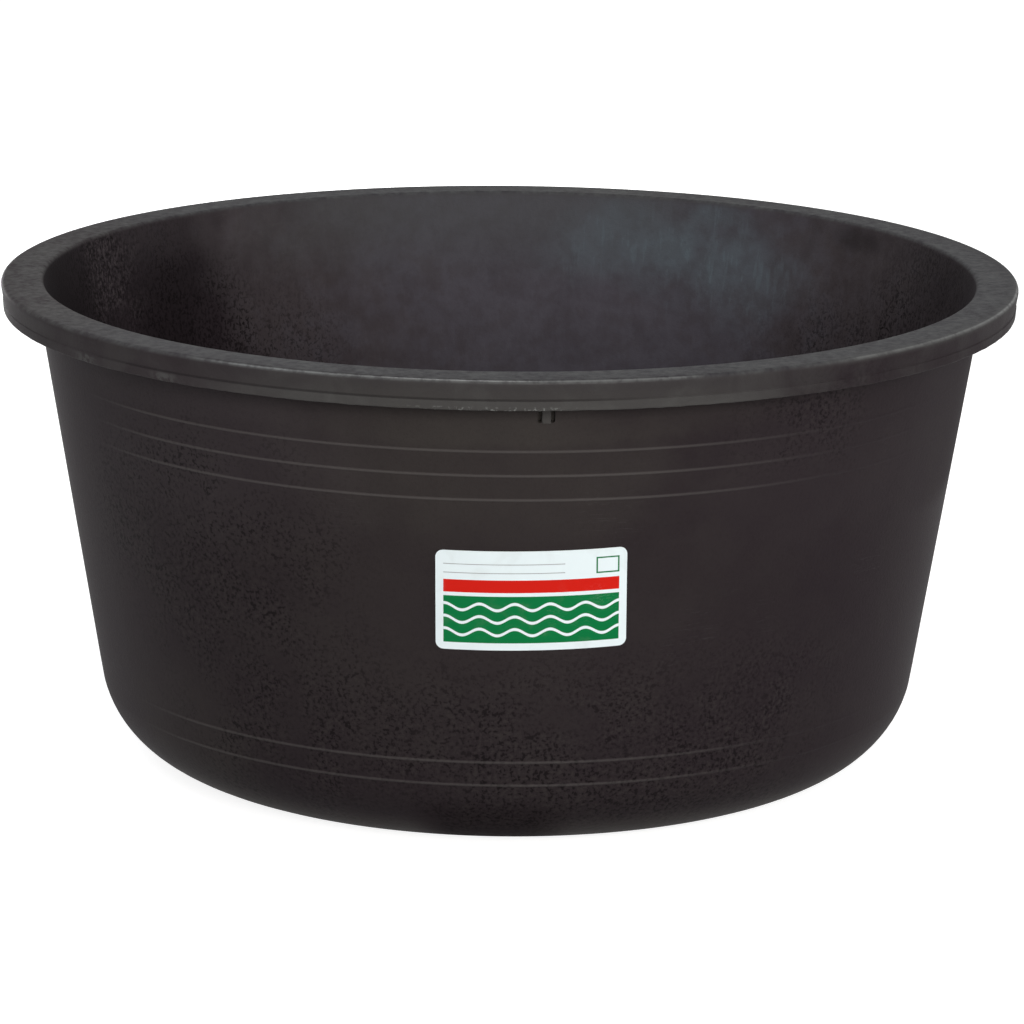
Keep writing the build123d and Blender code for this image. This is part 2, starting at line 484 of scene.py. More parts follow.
class Desk:
    """Adds nodes to one tree, sets their sockets and links them."""

    def __init__(self, tree):
        self.tree = tree

    def node(self, kind, sockets=None, **settings):
        """A new node. Each socket gets a number, or a link from another node."""
        node = self.tree.nodes.new(kind)
        node.location.x = NODE_STEP * len(self.tree.nodes)
        for name, value in settings.items():
            setattr(node, name, value)
        for key, value in (sockets or {}).items():
            if isinstance(value, Value):
                self.tree.links.new(value.socket, node.inputs[key])
            else:
                node.inputs[key].default_value = value
        return node

    def add(self, kind, sockets=None, output=0, **settings):
        """One output of a new node."""
        return Value(self, self.node(kind, sockets, **settings).outputs[output])

    def close(self, value):
        """Ends a node group with its output."""
        self.node("NodeGroupOutput", {0: value})
        return self.tree

    def math(self, operation, *values, clamp=False):
        return self.add("ShaderNodeMath", dict(enumerate(values)), operation=operation, use_clamp=clamp)

    def vector(self, operation, *values, output=0):
        return self.add("ShaderNodeVectorMath", dict(enumerate(values)), output, operation=operation)

    def greatest(self, *values):
        return reduce(lambda one, other: self.math("MAXIMUM", one, other), values)

    def split(self, vector):
        return [Value(self, socket) for socket in self.node("ShaderNodeSeparateXYZ", {0: vector}).outputs]

    def join(self, x, y, z):
        return self.add("ShaderNodeCombineXYZ", {0: x, 1: y, 2: z})

    def fade(self, value, low, high, least=0.0, most=1.0):
        """A smooth rise from least, at low, to most, at high."""
        sockets = {"Value": value, "From Min": low, "From Max": high, "To Min": least, "To Max": most}
        return self.add("ShaderNodeMapRange", sockets, interpolation_type="SMOOTHSTEP")

    def spread(self, mask, least, most):
        """A mask that goes from least to most instead of from 0 to 1."""
        return self.fade(mask, 0.0, 1.0, least, most)

    def between(self, value, low, high, low_soft, high_soft):
        """Where a value lies between two limits, as a mask with soft ends."""
        above = self.fade(value, low - low_soft, low + low_soft)
        return above * self.fade(value, high + high_soft, high - high_soft)

    def noise(self, place, scale, seed, detail=3.0, roughness=0.5, distortion=0.0):
        """A cloudy field from 0 to 1. The seed moves it to another part of the same field."""
        moved = self.vector("ADD", place, self.join(seed, seed, seed))
        sockets = {"Vector": moved, "Scale": scale, "Detail": detail}
        sockets |= {"Roughness": roughness, "Distortion": distortion}
        return self.add("ShaderNodeTexNoise", sockets)

    def paint(self, base, *layers):
        """A colour with others laid over it in turn, each as thick as its mask."""
        for over, mask in layers:
            sockets = {0: mask, 6: opaque(base), 7: opaque(over)}
            base = self.add("ShaderNodeMix", sockets, 2, data_type="RGBA")
        return base

    def object_place(self):
        return self.add("ShaderNodeTexCoord", output="Object")

    def group(self, tree, **values):
        """A node group with its values."""
        return self.add("ShaderNodeGroup", titled(values), node_tree=tree)

    def shape(self, kind, output=0, settings=None, **values):
        """One output of a new geometry node."""
        return self.add(f"GeometryNode{kind}", titled(values), output, **(settings or {}))

    def known(self, name):
        """What a geometry says about its own finish."""
        return self.shape("InputNamedAttribute", "Attribute", name=name)


def new_tree(name, kind, output, inputs):
    """The desk of an empty node tree, and what its inputs give. Inputs are listed by their type."""
    tree = bpy.data.node_groups.new(name, f"{kind}NodeTree")
    desk = Desk(tree)
    keys = []
    for socket_type, names in inputs.items():
        for key in names.split():
            tree.interface.new_socket(title(key), in_out="INPUT", socket_type=f"NodeSocket{socket_type}")
            keys.append(key)
    tree.interface.new_socket(output[0], in_out="OUTPUT", socket_type=f"NodeSocket{output[1]}")
    sockets = desk.node("NodeGroupInput").outputs
    return desk, SimpleNamespace(**{key: Value(desk, sockets[title(key)]) for key in keys})


def shader_tree(name, output, **inputs):
    """An empty shader node group that puts out one number."""
    return new_tree(name, "Shader", (output, "Float"), inputs)


@cache
def grain_group():
    """Fine grain of a surface, as a height from 0 to 1."""
    desk, given = shader_tree("Fine Grain", "Height", Float="scale seed contrast")
    field = desk.noise(desk.object_place(), given.scale, given.seed, detail=2.0, roughness=0.6)
    return desk.close(desk.math("MULTIPLY_ADD", field - 0.5, given.contrast, 0.5, clamp=True))


@cache
def patch_group():
    """Soft-edged patches of dust or dirt, as a mask."""
    desk, given = shader_tree("Dust Patches", "Mask", Float="scale seed level softness")
    cloudy = {"detail": 5.0, "roughness": 0.58, "distortion": 0.7}
    field = desk.noise(desk.object_place(), given.scale, given.seed, **cloudy)
    return desk.close(desk.fade(field, given.level - given.softness, given.level + given.softness))


@cache
def stroke_group():
    """Soft strokes that go straight up and down the wall, as a mask."""
    desk, given = shader_tree("Wall Strokes", "Mask", Float="scale rise seed level softness")
    x, y, z = desk.split(desk.object_place())
    direction = desk.vector("NORMALIZE", desk.join(x, y, 0.0))
    run = desk.vector("ADD", direction, desk.join(0.0, 0.0, z * given.rise))
    field = desk.noise(run, given.scale, given.seed, roughness=0.6)
    return desk.close(desk.fade(field, given.level - given.softness, given.level + given.softness))


@cache
def spot_group():
    """One soft spot with a ragged edge, as a mask."""
    desk, given = shader_tree("Ragged Spot", "Mask", Vector="centre stretch", Float="reach core ragged")
    place = desk.object_place()
    off = desk.vector("MULTIPLY", desk.vector("SUBTRACT", place, given.centre), given.stretch)
    share = desk.math("DIVIDE", desk.vector("LENGTH", off, output="Value"), given.reach)
    edge = desk.noise(place, scale=30.0, seed=6.6, detail=4.0) - 0.5
    return desk.close(desk.fade(edge * given.ragged + share, 1.0, given.core))


@cache
def scratch_group():
    """Thin scratches that run the long way of a stretched field, as a mask."""
    desk, given = shader_tree("Fine Scratches", "Mask", Vector="stretch", Float="seed width cover")
    place = desk.object_place()
    field = desk.noise(desk.vector("MULTIPLY", place, given.stretch), 1.0, given.seed, detail=2.5)
    line = ~desk.fade(abs(field - 0.5), 0.0, given.width)
    where = desk.noise(place, 22.0, given.seed, detail=2.0)
    threshold = ~given.cover
    return desk.close(line * desk.fade(where, threshold, threshold + 0.12))


class WallDesk(Desk):
    """The desk of the tub's plastic, which knows where on the tub a point lies."""

    def __init__(self, tree, s):
        super().__init__(tree)
        self.s = s
        self.x, self.y, self.level = self.split(self.object_place())
        self.bearing = self.math("ARCTAN2", self.x, self.y * -1.0)

    def spot(self, spot):
        """One mark on the wall, as strong as it says, as a mask."""
        radius = wall_radius(self.s, spot.height)
        turned = radians(spot.angle)
        centre = (radius * sin(turned), -radius * cos(turned), spot.height)
        edge = {"reach": spot.reach, "core": spot.core, "ragged": spot.ragged}
        return self.group(spot_group(), centre=centre, stretch=(1.0, 1.0, spot.flat), **edge) * spot.share

    def spots(self, spots):
        """Several marks on the wall together."""
        return reduce(or_, [self.spot(spot) for spot in spots])

    def facing(self, arc):
        """A part of the tub's round, as strong as it says, as a mask."""
        return self.between(self.bearing, *[radians(angle) for angle in arc[:4]]) * arc.share

    def facings(self, arcs):
        """Several parts of the round together."""
        return reduce(or_, [self.facing(arc) for arc in arcs])

    def rising(self, heights, least=0.0, most=1.0):
        """A change between two heights above the floor."""
        return self.fade(self.level, *heights, least, most)

    def falling(self, drops, least=0.0, most=1.0, below=0.0):
        """A change between two distances under the rim's top, or under what lies that far below it."""
        return self.rising([self.s.height - below - drop for drop in drops], least, most)


def new_material(name):
    material = bpy.data.materials.new(name)
    material.use_nodes = True
    material.node_tree.nodes.clear()
    return material


def finish_surface(desk, base, roughness, height, relief, **settings):
    """The shader itself, with a bump of that relief in metres."""
    bump = desk.add("ShaderNodeBump", {"Height": height, "Distance": relief, "Strength": 1.0})
    sockets = {"Base Color": base, "Roughness": roughness, "Normal": bump} | settings
    desk.node("ShaderNodeOutputMaterial", {"Surface": desk.add("ShaderNodeBsdfPrincipled", sockets)})


def outer_colour(desk, field):
    """Dust on the upper wall, cooler towards the sides, and flecks on the sides and round the foot. The dust
    also paints a highlight high on the front, light under the lip, and a sheen near the left outline and at
    the foot.
    """
    s = desk.s
    flecked = desk.spots(OUTER_FLECKS) | desk.rising(FOOT_FLECKS)
    flecked = flecked * ~desk.spots(SMOOTH_FOOT)
    shaded = flecked * desk.rising(SHADED_FLECKS) * 0.045
    flecked = 0.08 | flecked * field.cluster * 0.92 | desk.spot(DENSE_FLECKS)
    return desk.paint(
        s.plastic,
        (s.outer_dust_and_light, desk.spots(OUTER_DUST_AND_LIGHT) | field.cloud * 0.1 | field.mottle * 0.06),
        (s.side_dust_and_sheen, desk.spots(SIDE_DUST_AND_LIGHT) | desk.facing(SHEEN_SIDE)),
        (s.pit_and_shade, shaded),
        (s.outer_dust_and_light, field.light * flecked * 0.3),
        (s.pit_and_shade, field.dark * flecked * 0.82),
    )


def inner_colour(desk, field):
    """A dried film on the back, stained cool on its right, cleaner, flecked ends and dust on the floor. The
    cool stains also paint a highlight, and dark patches paint shade at the far ends.
    """
    s = desk.s
    filmed = desk.greatest(desk.spot(FRONT_FILM), desk.spot(BACK_FILM), desk.spot(SIDE_FILM))
    cool = desk.spot(COOL_FILM)
    clear = desk.spot(CLEAR_PATCH)
    dapple = field.dapple - 0.5
    mottle = field.mottle - 0.5
    share = 0.08 | filmed * 0.5 | clear * 0.2 | cool * 0.26
    share = share | field.streak * filmed * 0.07 | mottle * filmed * 0.18 | dapple * filmed * 0.16
    stain_and_sheen = desk.spots(STAINS_AND_SHEEN) * desk.spread(field.dapple, 0.75, 1.1) * desk.spread(field.streak, 0.8, 1.4)
    flecked = (0.06 | desk.spots(INNER_FLECKS)) * ~(clear * 0.55)
    dark = desk.greatest(field.dark, field.smear) * desk.spread(field.cluster, 0.35, 0.75)
    return desk.paint(
        s.plastic,
        (desk.paint(s.warm_film, (s.cool_film, cool | dapple * 0.4)), share),
        (s.warm_film, desk.rising(SETTLED_DUST) * desk.spread(field.cloud, 0.15, 0.5)),
        (s.brim_film, desk.spread(desk.spot(BRIM_FILM), 0.06, 0.5) * desk.rising(BRIM)),
        # cool stains, with the painted highlight of the side lamp
        (s.stain_and_sheen, stain_and_sheen),
        # dark patches, and painted shade at the inside's far ends
        (s.pit_and_shade, desk.spots(DARK_PATCHES_AND_SHADE)),
        (s.warm_film, desk.greatest(field.light, field.brush) * field.cluster * desk.spot(LIGHT_FLECKS)),
        (s.pit_and_shade, (dark | field.mottle * 0.2) * flecked),
    )


def tub_plastic(s):
    """Black moulded plastic: dust and flecks outside, a dried film inside, worn edges and a fine grain, with
    painted highlights on the rim, the lip, the beads and the tie bar, and painted shade along the creased
    mould line and on the foot.
    """
    material = new_material("Tub plastic")
    desk = WallDesk(material.node_tree, s)
    field = SimpleNamespace()
    for name in COLOUR_MARKS + FACE_MARKS:
        setattr(field, name, desk.add("ShaderNodeAttribute", output="Fac", attribute_name=name))
    for tree, kinds in ((grain_group(), GRAINS), (patch_group(), PATCHES), (stroke_group(), STROKES)):
        for name, values in kinds.items():
            setattr(field, name, desk.group(tree, **values))
    field.dark = desk.fade(field.fleck, *DARK_FLECKS)
    field.light = desk.fade(field.fleck, *PALE_FLECKS)
    scratch = desk.group(scratch_group(), stretch=(30.0, 30.0, 420.0), seed=2.6, width=0.012, cover=0.4)
    outside = ~field.inside
    back = desk.fade(abs(desk.bearing), *BACK)

    # Rim and lip, with painted highlights on the rim's outer round, its right and the lip's front, and
    # painted shade along the creased mould line
    top = desk.falling(RIM_TOP)
    # Scuffing on the lip's face, stronger at the front, where it also paints the light that falls off
    # towards the sides
    front = desk.facing(FRONT_FACE_SCUFF_AND_LIGHT) * desk.falling(BAND_SCUFF, 0.24, 0.3, below=LIP_LINE_DROP)
    face = (0.02 | front | desk.facing(LEFT_FACE) | back * 0.15) * ~top
    scuffed = field.lip * (face | field.mottle * 0.12 | field.speck * top * 0.42)
    off_axis = desk.math("SQRT", desk.x * desk.x + desk.y * desk.y)
    # Painted highlight on the outer part of the rim's top, near its edge
    highlit_outer_part = desk.fade(off_axis, *[s.rim_diameter / 2 - inset for inset in RIM_OUTER_PART])
    # Polish on the rim's outer round, with a painted highlight laid on it in colour
    polish_and_highlight = field.wear * desk.facings(POLISHED_HIGHLIT_EDGE) * desk.fade(field.speck, *SPECKED, 0.6, 1.0)
    lip_foot = s.height - s.lip_depth
    nicked = field.lip * desk.rising([lip_foot + rise for rise in NICKS]) * desk.facing(NICKED_LIP)
    smudged = desk.facings(SMUDGED_LIP) * field.lip * desk.falling(SMUDGES, below=LIP_LINE_DROP)
    off_line = abs(desk.level - (s.height - LIP_LINE_DROP))
    # Painted shade along the creased mould line
    crease_shade = field.lip * desk.fade(off_line, *CREASE_SHADE) * desk.facing(SHADED_CREASE)

    # Beads and foot, with a painted highlight on the beads, painted shade on the foot and painted bounce
    # light on its lowest band
    # Painted highlight on the beads, at the front and back, stronger higher up
    highlit = field.bead * (desk.facing(HIGHLIT_BEADS) | back) * desk.rising(BEAD_HIGHLIGHT_RISE, 0.26, 0.33)
    # Painted shade on the foot's round, which faces the floor; darker and rougher in its middle
    foot = desk.rising(SHADED_FOOT) * outside
    dull_and_shaded = foot * desk.facing(DULL_SHADED_FOOT)
    # Painted bounce light from the floor on the foot's lowest band, left out in its middle
    lit_sole = desk.rising(LIT_SOLE) * outside * ~dull_and_shaded

    base = desk.paint(
        outer_colour(desk, field),
        (inner_colour(desk, field), field.inside),
        (s.scuff_and_highlight, scuffed),
        # painted cool sheen on the rim's top, except on its left
        (s.stain_and_sheen, field.lip * top * ~desk.facing(RIM_WITHOUT_SHEEN) * 0.12),
        (s.highlit, highlit),
        # painted highlight on the rim's top, on the right
        (s.scuff_and_highlight, highlit_outer_part * desk.falling(RIM_CORNER) * desk.facing(HIGHLIT_RIM_RIGHT)),
        # painted highlight on the rim's outer round
        (s.nick_and_highlight, polish_and_highlight * 0.5),
        (s.nick_and_highlight, nicked * field.light * 0.65),
        (s.nick_and_highlight, smudged * desk.fade(field.speck, *SPECKED) * 0.25),
        (s.scuff_and_highlight, scratch * 0.1),
        # painted highlight on the tie bar
        (s.scuff_and_highlight, field.bar * 0.27),
        # painted shade along the creased mould line
        (s.pit_and_shade, crease_shade * 0.5),
        (s.outer_dust_and_light, field.cut),
        # painted shade on the foot
        (s.pit_and_shade, foot * ~lit_sole * 0.18 | dull_and_shaded * 0.04),
        # painted bounce light on the foot's lowest band
        (s.outer_dust_and_light, lit_sole * 0.4),
    )
    blunt = desk.facing(BLUNT_LEFT) | desk.facing(BLUNT_RIGHT) * desk.rising(BLUNT_TOP)
    rough = dull_and_shaded * 0.25 | blunt * outside * ~field.lip
    roughness = 0.58 | field.grain * 0.1 | rough
    height = field.grain * 0.35 | field.fleck * 0.4 | scratch * 0.1
    gloss = {"Specular IOR Level": 0.05, "Coat Weight": polish_and_highlight, "Coat Roughness": 0.25}
    finish_surface(desk, base, roughness, height, PLASTIC_RELIEF, **gloss)
    return material


def printed_film(s):
    """White film with a plain field, a band, wavy lines and lines to write on."""
    material = new_material("Label film")
    desk = Desk(material.node_tree)
    u, v, _ = desk.split(desk.add("ShaderNodeUVMap", uv_map="Print"))
    ragged = desk.group(grain_group(), scale=2600.0, seed=6.3, contrast=1.0)
    nudge = (ragged - 0.5) * INK_EDGE
    across = u * s.width + nudge
    up = v * s.height + nudge
    right = s.width - PRINT_BORDER

    def block(block_left, block_right, bottom, top):
        """Ink between four edges, as a mask."""
        sides = desk.between(across, block_left, block_right, INK_EDGE, INK_EDGE)
        return sides * desk.between(up, bottom, top, INK_EDGE, INK_EDGE)

    def wave(level):
        """A wavy line of even thickness, as a mask."""
        middle = desk.math("SINE", across * (2 * pi / WAVE_LENGTH)) * WAVE_SWING + level
        half = WAVE_THICKNESS / 2
        return desk.fade(abs(up - middle), half + INK_EDGE, half - INK_EDGE)

    field = block(PRINT_BORDER, right, PRINT_BORDER, FIELD_TOP)
    waves = [(s.paper, wave(level) * field) for level in WAVE_LEVELS]
    band = block(PRINT_BORDER, right, BAND_FOOT, BAND_TOP)
    rules = [block(PRINT_BORDER, RULE_END, level, level + RULE_THICKNESS) for level in RULE_LEVELS]
    tick_box = block(TICK_BOX_LEFT, right, TICK_BOX_FOOT, TICK_BOX_TOP)
    line = TICK_BOX_LINE
    blank = block(TICK_BOX_LEFT + line, right - line, TICK_BOX_FOOT + line, TICK_BOX_TOP - line)
    base = desk.paint(s.paper, (s.field, field), *waves, (s.band, band))
    base = desk.paint(base, *[(s.rule, rule) for rule in rules], (s.field, tick_box * ~blank))

    dirt = desk.group(patch_group(), scale=60.0, seed=9.7, level=0.62, softness=0.12)
    scratch = desk.group(scratch_group(), stretch=(180.0, 180.0, 900.0), seed=7.7, width=0.02, cover=0.42)
    base = desk.paint(base, (FILM_DIRT, dirt * 0.1), (s.paper, scratch * 0.12))
    roughness = 0.3 | dirt * 0.15 | scratch * 0.2
    gloss = {"Specular IOR Level": 0.08}
    finish_surface(desk, base, roughness, ragged | scratch, FILM_RELIEF, **gloss)
    return material


def tacky_layer(s):
    """The adhesive's thin edge, with dust caught in it."""
    material = new_material("Label adhesive")
    desk = Desk(material.node_tree)
    dust = desk.group(patch_group(), scale=300.0, seed=4.4, level=0.5, softness=0.15)
    grain = desk.group(grain_group(), scale=1800.0, seed=2.2, contrast=1.5)
    base = desk.paint(s.adhesive, (ADHESIVE_DUST, dust * 0.5))
    finish_surface(desk, base, 0.45 | grain * 0.2, grain, ADHESIVE_RELIEF)
    return material


def wall_slope(s):
    return s.wall_lean / s.height


def wall_radius(s, height, proud=0.0):
    """Radius of the wall's straight outside, or of a surface that stands proud of it."""
    foot_radius = s.rim_diameter / 2 - s.wall_set_in - s.wall_lean
    return foot_radius + height * wall_slope(s) + proud * hypot(1, wall_slope(s))


def foot_centre(s):
    """Radius at which the round of the foot is centred."""
    reach = tan((pi / 2 - atan(wall_slope(s))) / 2)
    return wall_radius(s, 0) - s.foot_round * reach


def bead_heights(s):
    upper = [s.height - UPPER_BEAD_DROP - i * BEAD_PITCH for i in range(UPPER_BEADS)]
    lower = [LOWER_BEAD_HEIGHT + i * BEAD_PITCH for i in range(LOWER_BEADS)]
    return lower + upper[::-1]


def bead_relief(s, height):
    """How far a bead raises the wall at a height."""
    off = min(abs(height - bead) for bead in bead_heights(s))
    if off > BEAD_ROUND:
        return 0.0
    return max(0.0, sqrt(BEAD_ROUND**2 - off**2) - BEAD_ROUND + s.bead_proud)


def outside_radius(s, height):
    """Radius of the outside under the lip: the foot's round, the wall and the beads on it."""
    round_top = s.foot_round * (1 - sin(atan(wall_slope(s))))
    if height >= round_top:
        radius = wall_radius(s, height)
    else:
        radius = foot_centre(s) + sqrt(s.foot_round**2 - (s.foot_round - height) ** 2)
    return radius + bead_relief(s, height)


def straight(start, end):
    """Points from start up to but not at end, no further apart than a row."""
    count = ceil((end - start).length / ROW)
    return [start.lerp(end, i / count) for i in range(count)]


def rounded(corners):
    """Points along an outline. A corner is (radius, height, round, steps), and both ends have no round."""
    points = []
    last = Vector(corners[0])
    for here, after in zip(corners[1:], corners[2:]):
        spot = Vector(here[:2])
        into = (spot - last).normalized()
        out = (Vector(after[:2]) - spot).normalized()
        bend = atan2(into.x * out.y - into.y * out.x, into.dot(out))
        reach = here[2] * tan(abs(bend) / 2)
        side = Vector((-into.y, into.x)) * (here[2] if bend > 0 else -here[2])
        start = spot - into * reach
        hold = min(here[2] / 2, 1 * MM)
        points += straight(last, start - into * hold)
        points.append(start - into * hold)
        for step in range(here[3] + 1):
            arm = Matrix.Rotation(bend * step / here[3], 2) @ -side
            points.append(start + side + arm)
        last = points[-1] + out * hold
    points += straight(last, Vector(corners[-1]))
    points.append(Vector(corners[-1]))
    return points


def outer_wall(s):
    """Points up the outside, from the foot ring to just under the channel of the lip."""
    arc_top = LOWER_BEAD_HEIGHT - 2 * BEAD_REACH
    arc_end = asin((s.foot_round - arc_top) / s.foot_round)
    points = []
    for step in range(FOOT_STEPS):
        angle = -pi / 2 + (pi / 2 - arc_end) * step / FOOT_STEPS
        spot = Vector((cos(angle), 1 + sin(angle))) * s.foot_round
        points.append(spot + Vector((foot_centre(s), 0)))
    heights = []
    top = s.height - FLANGE_THICKNESS - 2 * CHANNEL_ROUND
    bead_rows = [bead + BEAD_REACH * share for bead in bead_heights(s) for share in BEAD_ROWS]
    stops = [arc_top, *bead_rows, top]
    for low, high in zip(stops, stops[1:]):
        count = ceil((high - low) / ROW)
        heights += [low + (high - low) * i / count for i in range(count)]
    return points + [Vector((outside_radius(s, height), height)) for height in heights]


def tub_section(s):
    """The half section as two runs of (radius, height): the outside up to the rim, and the inside."""
    rim = s.rim_diameter / 2
    roof = s.height - FLANGE_THICKNESS
    lip_foot = s.height - s.lip_depth
    lip_line = s.height - LIP_LINE_DROP
    band = rim - LIP_LEAN + LIP_BAND_STEP
    band_foot = band - LIP_BAND_LEAN
    lip_inner = band_foot - s.lip_thickness
    inner_top = wall_radius(s, s.height, -s.wall_thickness)
    inner_foot = wall_radius(s, FLOOR_THICKNESS, -s.wall_thickness)
    ring = foot_centre(s) - FOOT_RING_WIDTH
    gate = PUSH_UP - GATE_HEIGHT
    floor_top = FLOOR_THICKNESS + PUSH_UP
    under = rounded([
        (0, gate),
        (GATE_RADIUS, gate, GATE_ROUND, LINE_STEPS),
        (GATE_RADIUS, PUSH_UP, GATE_ROUND, LINE_STEPS),
        (ring - PUSH_UP_SLOPE, PUSH_UP, PUSH_UP_ROUND, LINE_STEPS),
        (ring, 0, PUSH_UP_ROUND, LINE_STEPS),
        (foot_centre(s), 0),
    ])
    wall = outer_wall(s)
    over = rounded([
        (wall[-1].x, wall[-1].y),
        (wall_radius(s, roof), roof, CHANNEL_ROUND, EDGE_STEPS),
        (lip_inner - LIP_TAPER, roof, CHANNEL_ROUND, EDGE_STEPS),
        (lip_inner, lip_foot, LIP_EDGE_ROUND, EDGE_STEPS),
        (band_foot, lip_foot, LIP_EDGE_ROUND, EDGE_STEPS),
        (band, lip_line - LIP_BAND_STEP, LIP_LINE_ROUND, LINE_STEPS),
        (rim - LIP_LEAN, lip_line, LIP_LINE_ROUND, LINE_STEPS),
        (rim, s.height, RIM_OUTER_ROUND, EDGE_STEPS),
        ((rim + inner_top) / 2, s.height),
    ])
    within = rounded([
        ((rim + inner_top) / 2, s.height),
        (inner_top, s.height, RIM_INNER_ROUND, EDGE_STEPS),
        (inner_foot, FLOOR_THICKNESS, s.foot_round - s.wall_thickness, FOOT_STEPS),
        (ring, FLOOR_THICKNESS, PUSH_UP_ROUND, LINE_STEPS),
        (ring - PUSH_UP_SLOPE, floor_top, PUSH_UP_ROUND, LINE_STEPS),
        (0, floor_top),
    ])
    return under[:-1] + wall + over[1:-1], within


def section_wire(s):
    """The half section as a wire that carries what is known of the finish along it."""
    outside, inside = tub_section(s)
    points = outside + inside
    lip_foot = s.height - s.lip_depth
    lip_line = s.height - LIP_LINE_DROP
    lip_from = s.rim_diameter / 2 - LIP_LEAN - s.lip_thickness - LIP_TAPER
    edge_arm = Vector((sin(EDGE_TURN) - 1, cos(EDGE_TURN) - 1)) * RIM_OUTER_ROUND
    edge = Vector((s.rim_diameter / 2, s.height)) + edge_arm

    def on_lip(point):
        return float(point.x > lip_from and point.y > lip_foot - MM)

    def on_rim(point):
        return max(0, 1 - (s.height - point.y) / RIM_INNER_ROUND)

    def scuffed(point):
        return on_lip(point) * (1.0 if point.y < lip_line else UPPER_FACE_SCUFF)

    def worn(point):
        return max(0, 1 - (point - edge).length / EDGE_WEAR_AND_HIGHLIGHT)

    def trim(point):
        return on_lip(point) * max(0, 1 - abs(point.y - lip_foot) / TRIM_REACH)

    mesh = bpy.data.meshes.new("tub_section")
    mesh.from_pydata([(p.x, 0, p.y) for p in points], [(i, i + 1) for i in range(len(points) - 1)], [])
    plain = [0.0] * len(inside)
    finish = {
        "inside": [0.0] * len(outside) + [1 - on_rim(p) for p in inside],
        "lip": [scuffed(p) for p in outside] + [on_rim(p) for p in inside],
        "wear": [worn(p) for p in points],
        "bead": [bead_relief(s, p.y) / s.bead_proud for p in outside] + plain,
        "trim": [trim(p) for p in outside] + plain,
    }
    for name, values in finish.items():
        mesh.attributes.new(name, "FLOAT", "POINT").data.foreach_set("value", values)
    return mesh


def carry_finish(desk, skin, source, index):
    """Copies what is known of the finish from one geometry to another."""
    for name in POINT_MARKS:
        found = desk.shape("SampleIndex", geometry=source, value=desk.known(name), index=index)
        skin = desk.shape("StoreNamedAttribute", geometry=skin, name=name, value=found)
    return skin


def close_skin(desk, skin, finish):
    """Ends a geometry tree with a smooth, plain mesh in its material."""
    skin = desk.shape("SetShadeSmooth", geometry=skin)
    skin = desk.shape("RealizeInstances", geometry=skin)
    return desk.close(desk.shape("SetMaterial", geometry=skin, material=finish))


def shell_tree():
    """Turns a section wire round the Z axis, sinks its beads on the sides and roughens its trimmed edge."""
    inputs = {"Geometry": "section", "Int": "segments", "Material": "finish"}
    inputs["Float"] = "bead_sink full_within low_beyond trim_wear trim_grain seed"
    desk, given = new_tree("Turned Shell", "Geometry", ("Shell", "Geometry"), inputs)
    size = desk.shape("AttributeDomainSize", "Point Count", geometry=given.section)
    counts = {"vertices_x": given.segments + 1, "vertices_y": size}
    skin = desk.shape("MeshGrid", "Mesh", size_x=1.0, size_y=1.0, **counts)
    place = desk.shape("InputPosition")
    across, along, _ = desk.split(desk.vector("ADD", place, (0.5, 0.5, 0.0)))
    row = desk.add("FunctionNodeFloatToInt", {0: along * (size - 1)})

    skin = carry_finish(desk, skin, given.section, row)
    vectors = {"data_type": "FLOAT_VECTOR"}
    on_wire = desk.shape("SampleIndex", settings=vectors, geometry=given.section, value=place, index=row)
    radius, _, height = desk.split(on_wire)
    angle = desk.math("MULTIPLY_ADD", across, 2 * pi, pi / 2)
    cosine = desk.math("COSINE", angle)
    sine = desk.math("SINE", angle)
    low = desk.math("COSINE", given.low_beyond)
    high = desk.math("COSINE", given.full_within)
    sideways = desk.fade(abs(sine), low, high, 1.0, 0.0)
    radius = radius - desk.known("bead") * sideways * given.bead_sink
    turned = desk.join(radius * cosine, radius * sine, height)
    skin = desk.shape("SetPosition", geometry=skin, position=turned)
    skin = desk.shape("MergeByDistance", geometry=skin, distance=SEAM)

    ragged = desk.noise(place, given.trim_grain, given.seed, roughness=0.65)
    lift = (ragged - 0.5) * desk.known("trim") * given.trim_wear * 2.0
    skin = desk.shape("SetPosition", geometry=skin, offset=desk.join(0.0, 0.0, lift))
    return close_skin(desk, skin, given.finish)


def capped_bar(desk, width, depth, corner, start, end):
    """A straight bar with rounded corners and closed ends."""
    outline = desk.shape("CurvePrimitiveQuadrilateral", width=width, height=depth)
    corners = {"count": BAR_CORNER_STEPS, "radius": corner, "limit_radius": True}
    profile = desk.shape("FilletCurve", settings={"mode": "POLY"}, curve=outline, **corners)
    path = desk.shape("CurvePrimitiveLine", start=start, end=end)
    return desk.shape("CurveToMesh", curve=path, profile_curve=profile, fill_caps=True)


def united(desk, *pieces):
    """Several closed pieces as one."""
    union = desk.node("GeometryNodeMeshBoolean", operation="UNION", solver="EXACT")
    for piece in pieces:
        desk.tree.links.new(piece.socket, union.inputs["Mesh 2"])
    return Value(desk, union.outputs[0])


